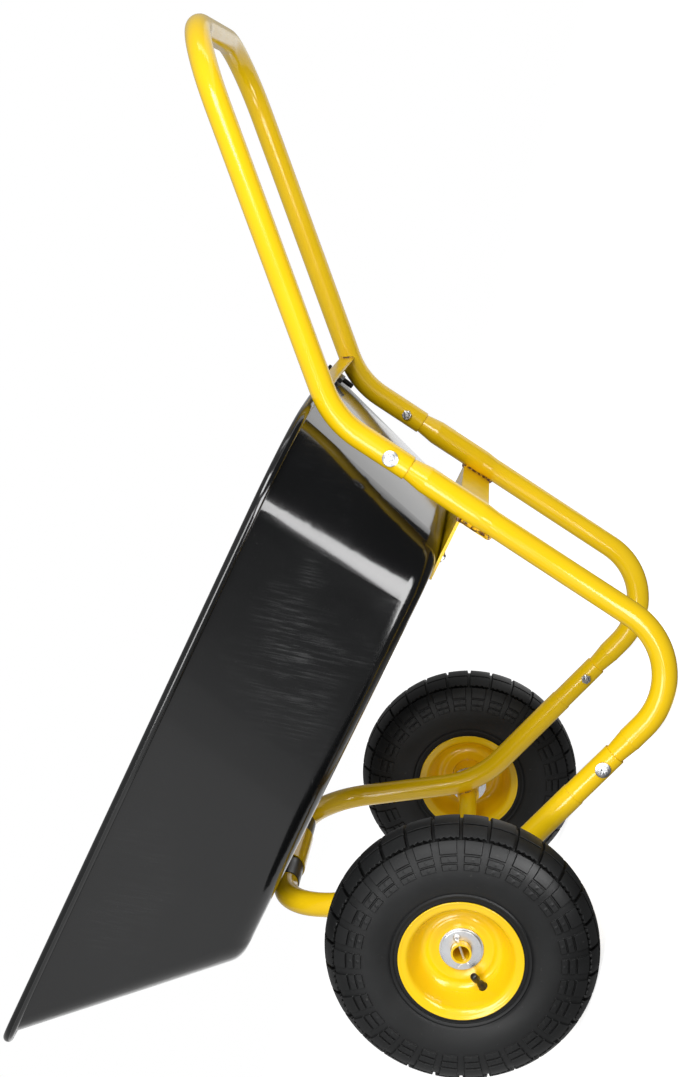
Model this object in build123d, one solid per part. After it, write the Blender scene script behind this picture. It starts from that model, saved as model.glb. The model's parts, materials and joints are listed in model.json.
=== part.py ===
from build123d import *
import os
from math import asin, atan, cos, degrees, hypot, radians, sin, tan

# Two-wheel garden cart: a tipping steel tray on a bent-tube frame.
# Millimetres. +X points back to the handle, -X to the nose, -Y is the left side, +Z is up.
# The cart is drawn with its tray floor level, then turned nose-up to stand on its wheels and legs.

os.makedirs("parts", exist_ok=True)

# ---------------------------------------------------------------- driving dimensions
FRAME_Y = 158.0            # frame and handle tube centres, each side of the middle
TUBE_R = 12.5              # 25 mm tube
TUBE_WALL = 1.5
TUBE_BORE_R = TUBE_R - TUBE_WALL

WHEEL_Y = 244.7            # wheel mid-plane, each side of the middle
WHEEL_R = 132.0            # tyre outer radius, 10 inch
AXLE_X, AXLE_Z = -658.5, -286.4
AXLE_R, AXLE_BORE_R = 10.0, 8.0
AXLE_HALF = 260.0

# Side view of the tubes: the leg line carries the handle's foot and the leg's upright.
LEG_LINE_X, LEG_LINE_Z = -279.9, -77.8
LEG_LINE_LEAN = 0.1377     # X gained per Z
ARM_ANGLE = 45.2           # handle arms above level
HANDLE_BEND_Z, HANDLE_BEND_R = 42.7, 90.0
GRIP_Z, GRIP_CORNER_R = 321.0, 82.0
LEG_BEND_X, LEG_BEND_Z, LEG_BEND_R = -322.2, -385.0, 75.0
NOSE_BEND_X, NOSE_BEND_Z, NOSE_BEND_R = -633.0, -288.0, 110.0
CROSS_X, CROSS_Z, CROSS_CORNER_R = -747.0, -120.0, 70.0

# Telescoped joints
UPPER_JOINT_Z = -43.0      # where the handle's foot ends on the leg line
UPPER_BOLT_Z = -22.8
LOWER_JOINT_X = -443.3     # where the front frame's tail ends on the low line
LOWER_BOLT_X = -460.1
PLUG_LENGTH = 46.0         # swaged end inside the other tube
NECK_LENGTH = 20.0
PLUG_GAP = 0.1             # a plug is this much smaller than the bore it slides in
STEP = 0.2                 # how far a turned end stays under the bent tube it runs into
SWAGE_R = TUBE_BORE_R - PLUG_GAP
SWELL_R = 13.6             # leg tube just under the upper joint
SWELL_END_Z = -125.0
SWELL_TAPER = 14.0          # length over which the swelling runs out
TAIL_R = 11.8              # front frame's tail, drawn a little smaller
TAIL_LENGTH = 55.0

# Tray
SHEET = 1.2
FLOOR_Z = -106.6           # underside
FLOOR_BACK, FLOOR_NOSE, FLOOR_HALF = -322.0, -804.0, 200.0
RIM_BACK, RIM_NOSE, RIM_HALF = -258.0, -954.0, 252.0
RIM_BACK_Z, RIM_NOSE_Z = 69.5, 72.0    # centre of the rolled bead
RIM_BOW, FLOOR_BOW = 26.0, 12.0        # how far the back edge curves in at its ends
FLOOR_BACK_CORNER, FLOOR_NOSE_CORNER = 60.0, 40.0
RIM_BACK_CORNER, RIM_NOSE_CORNER = 90.0, 25.0
FLOOR_EDGE_R = 27.0
WALL_SLANT = 1.07          # level inset of the slanting walls for one sheet's thickness
NOSE_SLANT = 1.3           # the nose wall slants more
OPEN_TOP = 1.002           # the hollow is cut just past the rim
BEAD_R = 5.0

# Fasteners, M6
BOLT_R, HOLE_R = 3.0, 3.3
HEAD_R, HEAD_HEIGHT = 5.6, 3.6
SMALL_HEAD_R = 5.0         # heads inside the tray and on its rim
WASHER_R, WASHER_THICK = 7.8, 1.2
NUT_R, NUT_FLAT, NUT_HEIGHT = 5.75, 4.98, 5.5
JOINT_BOLT_PAST = 2.0      # how far the bolts stand out of their nuts
FLOOR_BOLT_PAST = 2.0
RIM_BOLT_PAST = 13.0
RIM_HEAD_LIFT = 0.08       # the rim bolts' heads just clear the bead's curve
DRILL = 40.0               # length of the cutters for the bolt holes

# Brackets
RIM_PLATE_X, RIM_PLATE_Z = -239.6, 58.3     # rear bottom corner of the rim bracket
RIM_PLATE_HEIGHT, RIM_PLATE_THICK = 16.8, 2.0
RIM_PLATE_LEAN = 29.0      # its upper leg leans forward
RIM_TAB_RISE = 12.0        # its tab rises forward to the rim
RIM_PLATE_HALF = 152.0     # its ends run into the arms
RIM_TAB_HALF, RIM_TAB_NOSE = 90.0, -259.3
RIM_BOLT_Y = 75.0
CROSS_PLATE_THICK = 3.0
CROSS_PLATE_DROP = 34.0
CROSS_PLATE_NOSE = -364.0
CROSS_PLATE_PAST = 4.0     # its ends reach just past the legs' centres
CROSS_PLATE_BITE = 0.3     # it is let into the legs by this much, for the weld
CROSS_BOLT_X, CROSS_BOLT_Y = -353.0, 95.0
SLEEVE_R, SLEEVE_HALF = 13.4, 85.0
SADDLE_THICK, SADDLE_HALF, SADDLE_FLANGE = 1.5, 42.0, 13.0
SADDLE_NUT_GAP = 0.3

# Wheel section: distances out from the wheel's mid-plane, and radii
RIM_FLANGE_R, RIM_FLANGE_W = 59.8, 31.8
RIM_SHEET = 2.0
HUB_R, HUB_BORE_R = 20.0, 17.5
HUB_OUT, HUB_IN = 2.5, -36.0
BUSH_FLANGE_R, BUSH_FLANGE = 21.2, 2.0
BUSH_LENGTH = 12.0
RUNNING_GAP = 0.05
END_FLOAT = 0.9
AXLE_WASHER_R, AXLE_WASHER_THICK = 19.6, 2.0
INNER_WASHER_R = 16.6
SPACER_R = 13.0
PIN_R = 1.5
PIN_GAP = 0.15
WASHER_GAP = 0.3           # the axle washers' bores over the axle
SPACER_GAP = 0.1
TYRE_HALF = 38.5
VALVE_TURN = 55.5          # the valve's place, below level towards the nose
VALVE_LEAN = 32.0          # the valve's lean out of the wheel's plane
VALVE_R = 3.9
VALVE_FOOT_R = 4.4
VALVE_STEM, VALVE_CAP = 16.0, 10.0
VALVE_FOOT_AT, VALVE_FOOT = 2.5, 6.0


# ---------------------------------------------------------------- helpers
def leg_line(z):
    """X on the leg line at a height."""
    return LEG_LINE_X + LEG_LINE_LEAN * (z - LEG_LINE_Z)


def low_line(x):
    """Z on the line from the leg's bend to the nose bend."""
    slope = (NOSE_BEND_Z - LEG_BEND_Z) / (NOSE_BEND_X - LEG_BEND_X)
    return LEG_BEND_Z + slope * (x - LEG_BEND_X)


def bent_rod(points, radii, r):
    """A solid rod of radius r along straight runs joined by tangent arcs."""
    path = FilletPolyline(*points, radius=radii)
    return sweep(Plane(origin=path @ 0, z_dir=path % 0) * Circle(r), path=path)


def bent_tube(points, radii):
    """The 25 mm tube along straight runs joined by tangent arcs."""
    return bent_rod(points, radii, TUBE_R) - bent_rod(points, radii, TUBE_BORE_R)


def turned(start, along, stations):
    """A solid turned about a line in the side view, from (distance, radius) stations."""
    ends = [(stations[0][0], 0), (stations[-1][0], 0)]
    section = make_face(Polyline(ends[0], *stations, ends[1], close=True))
    plane = Plane(origin=start, x_dir=along, z_dir=(0, 1, 0))
    return revolve(plane * section, axis=Axis(start, along))


def rod(start, along, length, r):
    """A round bar from a point along a direction."""
    return Plane(origin=start, z_dir=along) * extrude(Circle(r), length)


def hexagon(start, along, height, r):
    """A hexagonal prism from a point along a direction, its flats towards its neighbours."""
    return Plane(origin=start, z_dir=along) * extrude(RegularPolygon(r, 6, rotation=30), height)


def washer(start, along, outer, bore, thick):
    """A flat ring from a point along a direction."""
    return rod(start, along, thick, outer) - rod(start, along, thick, bore)


def both_sides(piece):
    """A piece and its mirror image on the other side of the cart."""
    return [piece, mirror(piece, about=Plane.XZ)]


# ---------------------------------------------------------------- handle
def handle_path():
    arm_x = leg_line(HANDLE_BEND_Z) + (GRIP_Z - HANDLE_BEND_Z) / tan(radians(ARM_ANGLE))
    left = [
        Vector(leg_line(UPPER_JOINT_Z), -FRAME_Y, UPPER_JOINT_Z),
        Vector(leg_line(HANDLE_BEND_Z), -FRAME_Y, HANDLE_BEND_Z),
        Vector(arm_x, -FRAME_Y, GRIP_Z),
    ]
    right = [Vector(p.X, FRAME_Y, p.Z) for p in reversed(left)]
    return left + right


def upper_bolt_point():
    return Vector(leg_line(UPPER_BOLT_Z), -FRAME_Y, UPPER_BOLT_Z)


def lower_bolt_point():
    return Vector(LOWER_BOLT_X, -FRAME_Y, low_line(LOWER_BOLT_X))


def joint_holes():
    """The four holes drilled across the telescoped joints."""
    left = [rod(p - Vector(0, DRILL / 2, 0), (0, 1, 0), DRILL, HOLE_R)
            for p in (upper_bolt_point(), lower_bolt_point())]
    return [hole for one in left for hole in both_sides(one)]


def make_handle():
    corner = GRIP_CORNER_R
    handle = bent_tube(handle_path(), [HANDLE_BEND_R, corner, corner, HANDLE_BEND_R])
    return handle - joint_holes()


# ---------------------------------------------------------------- legs
def make_left_leg():
    """Swaged top plug, swollen upright, bend, skid, and the swaged plug of the lower joint."""
    down = Vector(-LEG_LINE_LEAN, 0, -1).normalized()
    joint = Vector(leg_line(UPPER_JOINT_Z), -FRAME_Y, UPPER_JOINT_Z)
    top = joint - down * PLUG_LENGTH
    swell_start = PLUG_LENGTH + NECK_LENGTH
    swell_end = PLUG_LENGTH + (joint.Z - SWELL_END_Z) / -down.Z
    bend = Vector(LEG_BEND_X, -FRAME_Y, LEG_BEND_Z)
    tail = Vector(LOWER_JOINT_X, -FRAME_Y, low_line(LOWER_JOINT_X))
    forward = (tail - bend).normalized()
    neck = tail - forward * NECK_LENGTH
    plug_r = TAIL_R - TUBE_WALL - PLUG_GAP

    def solid(inset, past):
        """The leg's outside, or its bore when inset by the wall."""
        upright = turned(top, down, [
            (-past, SWAGE_R - inset), (PLUG_LENGTH, SWAGE_R - inset), (swell_start, SWELL_R - inset),
            (swell_end, SWELL_R - inset), (swell_end + SWELL_TAPER, TUBE_R - inset - STEP)])
        skid = bent_rod([top + down * (swell_start + 5), bend, neck], [LEG_BEND_R], TUBE_R - inset)
        plug = turned(neck - forward * 2, forward, [
            (0, TUBE_R - inset - STEP), (2, TUBE_R - inset - STEP), (2 + NECK_LENGTH, plug_r - inset),
            (2 + NECK_LENGTH + PLUG_LENGTH + past, plug_r - inset)])
        return upright + skid + plug

    return (solid(0.0, 0.0) - solid(TUBE_WALL, 1.0)) - joint_holes()


# ---------------------------------------------------------------- front frame and axle
def axle_rod():
    return rod((AXLE_X, -AXLE_HALF, AXLE_Z), (0, 1, 0), 2 * AXLE_HALF, AXLE_R)


def make_front_frame():
    tail = Vector(LOWER_JOINT_X, -FRAME_Y, low_line(LOWER_JOINT_X))
    nose = Vector(NOSE_BEND_X, -FRAME_Y, NOSE_BEND_Z)
    forward = (nose - tail).normalized()
    tail_end = tail + forward * (TAIL_LENGTH + 3)
    left = [tail_end, nose, Vector(CROSS_X, -FRAME_Y, CROSS_Z)]
    right = [Vector(p.X, FRAME_Y, p.Z) for p in reversed(left)]
    corner = CROSS_CORNER_R

    def solid(inset, past):
        """The frame's outside, or its bore when inset by the wall."""
        end = turned(tail, forward, [
            (-past, TAIL_R - inset), (TAIL_LENGTH, TAIL_R - inset),
            (TAIL_LENGTH + 6, TUBE_R - inset - STEP)])
        loop = bent_rod(left + right, [NOSE_BEND_R, corner, corner, NOSE_BEND_R], TUBE_R - inset)
        return loop + both_sides(end)

    frame = solid(0.0, 0.0) - solid(TUBE_WALL, 1.0)
    return (frame - axle_rod()) - joint_holes()


def pin_direction():
    """The split pins run from the upper back to the lower front."""
    return Vector(-0.72, 0, -0.694).normalized()


def pin_w():
    """Distance of the split pin out from the wheel's mid-plane."""
    return HUB_OUT + BUSH_FLANGE + END_FLOAT + AXLE_WASHER_THICK + PIN_R


def make_axle():
    axle = axle_rod() - rod((AXLE_X, -AXLE_HALF, AXLE_Z), (0, 1, 0), 2 * AXLE_HALF, AXLE_BORE_R)
    centre = Vector(AXLE_X, -(WHEEL_Y + pin_w()), AXLE_Z)
    hole = rod(centre - pin_direction() * (DRILL / 2), pin_direction(), DRILL, PIN_R + PIN_GAP)
    return axle - both_sides(hole)


def make_left_pin():
    """A split pin: an eye, a shank through the axle, and two legs bent apart."""
    centre = Vector(AXLE_X, -(WHEEL_Y + pin_w()), AXLE_Z)
    down = pin_direction()
    shank_top, shank_end = 11.5, 12.0
    shank = rod(centre - down * shank_top, down, shank_top + shank_end, PIN_R)
    eye_r, wire_r = 2.4, 1.1
    eye_at = centre - down * (shank_top + eye_r)
    eye = Plane(origin=eye_at, z_dir=(0, 1, 0)) * Torus(eye_r, wire_r)
    tip = centre + down * (shank_end - 0.6)
    across = Vector(down.Z, 0, -down.X)
    leg_one = rod(tip, down * 0.35 + across * 0.9, 9.0, 0.75)
    leg_two = rod(tip, down * 0.8 - across * 0.6, 4.0, 0.75)
    return shank + eye + leg_one + leg_two


def make_left_axle_washer():
    start = (AXLE_X, -(WHEEL_Y + pin_w() - PIN_R), AXLE_Z)
    return washer(start, (0, 1, 0), AXLE_WASHER_R, AXLE_R + WASHER_GAP, AXLE_WASHER_THICK)


def inner_washer_w():
    """Distance of the inner washer's wheel side from the wheel's mid-plane."""
    return HUB_IN - BUSH_FLANGE - END_FLOAT / 2


def make_left_inner_washer():
    start = (AXLE_X, -(WHEEL_Y + inner_washer_w()), AXLE_Z)
    return washer(start, (0, 1, 0), INNER_WASHER_R, AXLE_R + WASHER_GAP, AXLE_WASHER_THICK)


def make_left_spacer():
    """A sleeve on the axle between the frame tube and the wheel's inner washer."""
    outer_end = WHEEL_Y + inner_washer_w() - AXLE_WASHER_THICK
    inner_end = FRAME_Y + TUBE_R + STEP
    start = (AXLE_X, -outer_end, AXLE_Z)
    return washer(start, (0, 1, 0), SPACER_R, AXLE_R + SPACER_GAP, outer_end - inner_end)


# ---------------------------------------------------------------- tray
def rim_lean():
    """The rim rises towards the nose by this angle."""
    return degrees(atan((RIM_NOSE_Z - RIM_BACK_Z) / (RIM_BACK - RIM_NOSE)))


def rounded_outline(back, nose, half, bow, back_corner, nose_corner):
    """A four-sided outline with a bowed back edge and its own corner radius at each end."""
    low, high = (back - bow, -half), (back - bow, half)
    edges = [ThreePointArc(low, (back, 0), high), Polyline(high, (nose, half), (nose, -half), low)]
    face = make_face(edges)
    sharp = [v for v in face.vertices() if abs(v.X - back + bow) < 0.01]
    face = fillet(sharp, back_corner)
    sharp = [v for v in face.vertices() if abs(v.X - nose) < 0.01 and abs(abs(v.Y) - half) < 0.01]
    return fillet(sharp, nose_corner)


def tray_solid(inset, floor_z, share, edge_r):
    """The tray as a full block, its walls inset, cut off at a share of the wall's height."""
    def mixed(low, high):
        return low + (high - low) * share
    floor_face = rounded_outline(
        FLOOR_BACK - inset, FLOOR_NOSE + inset * NOSE_SLANT, FLOOR_HALF - inset, FLOOR_BOW,
        FLOOR_BACK_CORNER - inset, FLOOR_NOSE_CORNER - inset)
    top_face = rounded_outline(
        mixed(FLOOR_BACK, RIM_BACK) - inset, mixed(FLOOR_NOSE, RIM_NOSE) + inset * NOSE_SLANT,
        mixed(FLOOR_HALF, RIM_HALF) - inset, mixed(FLOOR_BOW, RIM_BOW),
        mixed(FLOOR_BACK_CORNER, RIM_BACK_CORNER) - inset,
        mixed(FLOOR_NOSE_CORNER, RIM_NOSE_CORNER) - inset)
    top_z = mixed(FLOOR_Z, RIM_BACK_Z)
    tilt = Plane(origin=(RIM_BACK, 0, top_z)).rotated((0, rim_lean(), 0))
    shift = Pos(-RIM_BACK, 0, 0)
    block = loft([Pos(0, 0, floor_z) * floor_face, tilt * (shift * top_face)], ruled=True)
    edges = block.edges().filter_by(lambda e: abs(e.center().Z - floor_z) < 0.01)
    return fillet(edges, edge_r)


def bead():
    """The rolled edge: a curl of the sheet around the rim."""
    outline = rounded_outline(
        RIM_BACK + BEAD_R - SHEET / 2, RIM_NOSE - BEAD_R + SHEET / 2, RIM_HALF + BEAD_R - SHEET / 2, RIM_BOW,
        RIM_BACK_CORNER + BEAD_R, RIM_NOSE_CORNER + BEAD_R)
    tilt = Plane(origin=(RIM_BACK, 0, RIM_BACK_Z)).rotated((0, rim_lean(), 0))
    path = tilt * (Pos(-RIM_BACK, 0, 0) * outline)
    wire = path.faces()[0].outer_wire()
    section = Circle(BEAD_R) - Circle(BEAD_R - SHEET)
    return sweep(Plane(origin=wire @ 0, z_dir=wire % 0) * section, path=wire)


def make_tray():
    outside = tray_solid(0.0, FLOOR_Z, 1.0, FLOOR_EDGE_R)
    inside = tray_solid(SHEET * WALL_SLANT, FLOOR_Z + SHEET, OPEN_TOP, FLOOR_EDGE_R - SHEET)
    tray = (outside - inside) + bead()
    for x, y in [(CROSS_BOLT_X, -CROSS_BOLT_Y), (CROSS_BOLT_X, CROSS_BOLT_Y),
                 (saddle_bolt_x(1), 0), (saddle_bolt_x(-1), 0)]:
        tray -= rod((x, y, FLOOR_Z - DRILL / 2), (0, 0, 1), DRILL, HOLE_R)
    return tray - rim_bolt_holes()


def bead_back_x(y):
    """X of the bead's centre on the bowed back edge."""
    bow_r = (RIM_HALF ** 2 + RIM_BOW ** 2) / (2 * RIM_BOW)
    return RIM_BACK + BEAD_R - SHEET / 2 - (bow_r - (bow_r ** 2 - y ** 2) ** 0.5)


def rim_bolt_down():
    """The rim bolts stand square to the rim bracket's tab."""
    rise = radians(RIM_TAB_RISE)
    return Vector(-sin(rise), 0, -cos(rise))


def rim_bolt_centre(side):
    """Where a rim bolt crosses the bead's centre."""
    return Vector(bead_back_x(RIM_BOLT_Y), side * RIM_BOLT_Y, RIM_BACK_Z)


def rim_bolt_holes():
    start = rim_bolt_down() * (DRILL / 2)
    return [rod(rim_bolt_centre(side) - start, rim_bolt_down(), DRILL, HOLE_R) for side in (-1, 1)]


# ---------------------------------------------------------------- brackets and saddle
def make_rim_bracket():
    """A bent strip between the handle arms: a leaning upper leg, and a tab under the tray's rim."""
    lean, rise, t = radians(RIM_PLATE_LEAN), radians(RIM_TAB_RISE), RIM_PLATE_THICK
    x0, z0 = RIM_PLATE_X, RIM_PLATE_Z
    top = (x0 - RIM_PLATE_HEIGHT * sin(lean), z0 + RIM_PLATE_HEIGHT * cos(lean))
    back = t / cos(lean)
    leg = make_face(Polyline((x0, z0), top, (top[0] - back, top[1]), (x0 - back, z0), close=True))
    plate = extrude(Plane.XZ * leg, RIM_PLATE_HALF, both=True)
    tip_z = z0 + (x0 - RIM_TAB_NOSE) * tan(rise)
    up = t / cos(rise)
    tab = make_face(Polyline(
        (x0, z0), (RIM_TAB_NOSE, tip_z), (RIM_TAB_NOSE, tip_z + up), (x0, z0 + up), close=True))
    plate += extrude(Plane.XZ * tab, RIM_TAB_HALF, both=True)
    corner = GRIP_CORNER_R
    plate -= bent_rod(handle_path(), [HANDLE_BEND_R, corner, corner, HANDLE_BEND_R], TUBE_R)
    plate = plate - rim_bolt_holes()
    return max(plate.solids(), key=lambda s: s.volume)


def make_cross_bracket():
    """An angle between the legs, its flange under the back edge of the tray's floor."""
    top = FLOOR_Z
    low = top - CROSS_PLATE_DROP
    t = CROSS_PLATE_THICK
    front = -(SWELL_R - CROSS_PLATE_BITE) / cos(atan(LEG_LINE_LEAN))
    top_x, low_x = leg_line(top) + front, leg_line(low) + front
    outline = Polyline(
        (top_x, top), (CROSS_PLATE_NOSE, top), (CROSS_PLATE_NOSE, top - t),
        (top_x - t * 1.1, top - t), (low_x - t, low), (low_x, low), close=True)
    face = Plane.XZ * make_face(outline)
    plate = extrude(face, FRAME_Y + CROSS_PLATE_PAST, both=True)
    leg = rod((leg_line(0), -FRAME_Y, 0), (-LEG_LINE_LEAN, 0, -1), 200, SWELL_R)
    plate -= both_sides(leg)
    for y in (-CROSS_BOLT_Y, CROSS_BOLT_Y):
        plate -= rod((CROSS_BOLT_X, y, top - DRILL / 2), (0, 0, 1), DRILL, HOLE_R)
    return max(plate.solids(), key=lambda s: s.volume)


def saddle_bolt_x(side):
    """X of the saddle's bolt behind (1) or ahead (-1) of the cross tube."""
    return CROSS_X + side * (SLEEVE_R + SADDLE_THICK + NUT_FLAT + SADDLE_NUT_GAP)


def make_sleeve():
    start = (CROSS_X, -SLEEVE_HALF, CROSS_Z)
    return washer(start, (0, 1, 0), SLEEVE_R, TUBE_R, 2 * SLEEVE_HALF)


def make_saddle():
    """A strap round the sleeved cross tube, flanged up against the tray's floor."""
    outer, t = SLEEVE_R + SADDLE_THICK, SADDLE_THICK
    wide = outer + SADDLE_FLANGE
    rise = FLOOR_Z - CROSS_Z
    body = Circle(outer) + Pos(0, rise / 2) * Rectangle(2 * outer, rise)
    body += Pos(0, rise - t / 2) * Rectangle(2 * wide, t)
    body -= Circle(SLEEVE_R)
    body -= Pos(0, rise / 2 + t) * Rectangle(2 * SLEEVE_R, rise + 2 * t)
    face = Plane(origin=(CROSS_X, 0, CROSS_Z), x_dir=(1, 0, 0), z_dir=(0, -1, 0)) * body
    strap = extrude(face, SADDLE_HALF, both=True)
    for side in (-1, 1):
        strap -= rod((saddle_bolt_x(side), 0, FLOOR_Z - DRILL / 4), (0, 0, 1), DRILL / 2, HOLE_R)
    return strap


# ---------------------------------------------------------------- fasteners
def bolt(seat, along, length, head_r=HEAD_R):
    """A round-headed bolt with its head's underside at a point, its shank running along a direction."""
    return rod(seat, Vector(*along) * -1, HEAD_HEIGHT, head_r) + rod(seat, along, length, BOLT_R)


def nut(seat, along):
    """A nut with its seat at a point, its height running along a direction."""
    return hexagon(seat, along, NUT_HEIGHT, NUT_R) - rod(seat, along, NUT_HEIGHT, BOLT_R)


def joint_sets():
    """Bolts, washers and nuts of the left side's two joints, heads outward."""
    bolts, washers, nuts = [], [], []
    inward = Vector(0, 1, 0)
    for centre, r in ((upper_bolt_point(), TUBE_R), (lower_bolt_point(), TAIL_R)):
        face = centre - inward * r
        washers.append(washer(face - inward * WASHER_THICK, inward, WASHER_R, BOLT_R, WASHER_THICK))
        length = 2 * r + WASHER_THICK + NUT_HEIGHT + JOINT_BOLT_PAST
        bolts.append(bolt(face - inward * WASHER_THICK, inward, length))
        nuts.append(nut(centre + inward * r, inward))
    return bolts, washers, nuts


def floor_sets():
    """Bolts and nuts through the tray's floor: the cross bracket's, then the saddle's."""
    down = Vector(0, 0, -1)
    seats = [
        (CROSS_BOLT_X, -CROSS_BOLT_Y, CROSS_PLATE_THICK),
        (CROSS_BOLT_X, CROSS_BOLT_Y, CROSS_PLATE_THICK),
        (saddle_bolt_x(1), 0, SADDLE_THICK),
        (saddle_bolt_x(-1), 0, SADDLE_THICK),
    ]
    bolts, nuts = [], []
    for x, y, thick in seats:
        length = SHEET + thick + NUT_HEIGHT + FLOOR_BOLT_PAST
        bolts.append(bolt(Vector(x, y, FLOOR_Z + SHEET), down, length, SMALL_HEAD_R))
        nuts.append(nut(Vector(x, y, FLOOR_Z - thick), down))
    return bolts, nuts


def rim_sets():
    """Bolts down through the rolled rim and the rim bracket's tab, with their nuts."""
    down = rim_bolt_down()
    bolts, nuts = [], []
    for side in (-1, 1):
        centre = rim_bolt_centre(side)
        tab_z = RIM_PLATE_Z + (RIM_PLATE_X - centre.X) * tan(radians(RIM_TAB_RISE))
        drop = (centre.Z - tab_z) * cos(radians(RIM_TAB_RISE))
        seat = centre - down * (BEAD_R + RIM_HEAD_LIFT)
        bolts.append(bolt(seat, down, BEAD_R + drop + NUT_HEIGHT + RIM_BOLT_PAST, SMALL_HEAD_R))
        nuts.append(nut(centre + down * drop, down))
    return bolts, nuts


# ---------------------------------------------------------------- wheel, drawn about its own centre
def lathe(section):
    """Turns a section, given as (distance out, radius), about the wheel's axle. Out is -Y."""
    face = make_face(Polyline(*[(r, -w) for w, r in section], close=True))
    return revolve(face, axis=Axis.Y)


def arc(a, b, c):
    """An arc through three (distance out, radius) points."""
    return ThreePointArc((a[1], -a[0]), (b[1], -b[0]), (c[1], -c[0]))


def line(a, b):
    return Line((a[1], -a[0]), (b[1], -b[0]))


def flip(point):
    return (-point[0], point[1])


def make_tyre():
    toe, heel, side, flange = (20.0, 51.4), (26.9, 51.4), (29.2, 53.1), (29.2, 60.3)
    wall, shoulder, edge, tread = (TYRE_HALF, 88.0), (35.0, 110.0), (29.8, 119.2), (22.0, 125.6)
    toe_top, liner, crown = (20.0, 57.0), (31.5, 90.0), (24.5, 117.5)
    half = [
        line(toe, heel), line(heel, side), line(side, flange), arc(flange, wall, shoulder),
        arc(shoulder, edge, tread), line(toe, toe_top), arc(toe_top, liner, crown),
    ]
    other = [
        line(flip(toe), flip(heel)), line(flip(heel), flip(side)), line(flip(side), flip(flange)),
        arc(flip(flange), flip(wall), flip(shoulder)), arc(flip(shoulder), flip(edge), flip(tread)),
        line(flip(toe), flip(toe_top)), arc(flip(toe_top), flip(liner), flip(crown)),
    ]
    across = [arc(tread, (0, WHEEL_R), flip(tread)), arc(crown, (0, 122.5), flip(crown))]
    return revolve(make_face(half + other + across), axis=Axis.Y)


def make_inner_tube():
    """The air tube, with the hole that its valve blows through."""
    def ring(inset):
        low, side, top, crown = 57.6 + inset, 31.0 - inset, 116.5 - inset, 122.0 - inset
        base, wide = 19.4 - inset, 24.0 - inset
        edges = [
            line((base, low), (-base, low)),
            arc((base, low), (side, 90.0), (wide, top)), arc((-base, low), (-side, 90.0), (-wide, top)),
            arc((wide, top), (0, crown), (-wide, top)),
        ]
        return revolve(make_face(edges), axis=Axis.Y)
    tube = ring(0.0) - ring(2.0)
    return tube - rod(valve_point(50.0, 0.0), valve_out(), 12, 2.0)


def rim_section():
    """One pressed rim half: hub edge, flat web, flared wall, bead seat and flange."""
    face_side = [
        (HUB_OUT, HUB_R), (HUB_OUT, 21.5), (4.8, 30.0), (RIM_SHEET, 34.5), (RIM_SHEET, 38.0),
        (7.5, 43.0), (18.5, 48.6), (27.6, 50.0), (30.2, 52.6), (RIM_FLANGE_W - 0.9, 58.0),
        (RIM_FLANGE_W, RIM_FLANGE_R),
    ]
    back_side = [
        (RIM_FLANGE_W - 1.9, RIM_FLANGE_R), (29.3, 58.0), (29.3, 53.0), (27.0, 51.3), (18.0, 50.6),
        (6.0, 45.0), (0.0, 39.0), (0.0, 34.0), (2.8, 30.0), (HUB_OUT - RIM_SHEET, 21.5),
        (HUB_OUT - RIM_SHEET, HUB_R),
    ]
    return face_side + back_side


def valve_out():
    """Unit vector away from the axle at the valve's place."""
    turn = radians(VALVE_TURN)
    return Vector(-cos(turn), 0, -sin(turn))


def valve_point(r, w):
    return valve_out() * r + Vector(0, -w, 0)


def valve_along():
    """The valve leans from the rim's wall inward to the hub and outward from the wheel."""
    lean = radians(VALVE_LEAN)
    return valve_out() * -cos(lean) + Vector(0, -sin(lean), 0)


def valve_base():
    return valve_point(43.5, 6.5)


def make_valve_stem():
    """A rubber stem with a thicker foot where it comes through the rim's wall."""
    stem = rod(valve_base(), valve_along(), VALVE_STEM, VALVE_R - 0.6)
    return stem + rod(valve_base() + valve_along() * VALVE_FOOT_AT, valve_along(), VALVE_FOOT, VALVE_FOOT_R)


def make_valve_cap():
    return rod(valve_base() + valve_along() * VALVE_STEM, valve_along(), VALVE_CAP, VALVE_R)


def make_outer_rim():
    return lathe(rim_section()) - rod(valve_base() - valve_along() * 6, valve_along(), DRILL, VALVE_FOOT_R)


def make_inner_rim():
    return lathe([flip(p) for p in inner_rim_section()])


def inner_rim_section():
    """The inner rim half meets the outer one at the middle and reaches the hub tube there."""
    keep = rim_section()
    return [(max(w, 0.0), r) for w, r in keep]


def make_hub():
    return lathe([(HUB_OUT, HUB_BORE_R), (HUB_OUT, HUB_R), (HUB_IN, HUB_R), (HUB_IN, HUB_BORE_R)])


def bush_section(end, way):
    """A flanged bush: its flange outside the hub's end, its body inside."""
    bore = AXLE_R + RUNNING_GAP
    return [
        (end + way * BUSH_FLANGE, bore), (end + way * BUSH_FLANGE, BUSH_FLANGE_R), (end, BUSH_FLANGE_R),
        (end, HUB_BORE_R), (end - way * BUSH_LENGTH, HUB_BORE_R), (end - way * BUSH_LENGTH, bore),
    ]


def left_wheel():
    """Every piece of the left wheel, in place on the cart."""
    pieces = {
        "tyre": make_tyre(),
        "inner_tube": make_inner_tube(),
        "outer_rim": make_outer_rim(),
        "inner_rim": make_inner_rim(),
        "hub_tube": make_hub(),
        "outer_bearing": lathe(bush_section(HUB_OUT, 1)),
        "inner_bearing": lathe(bush_section(HUB_IN, -1)),
        "valve_stem": make_valve_stem(),
        "valve_cap": make_valve_cap(),
    }
    place = Pos(AXLE_X, -WHEEL_Y, AXLE_Z)
    return {name: place * piece for name, piece in pieces.items()}


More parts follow.
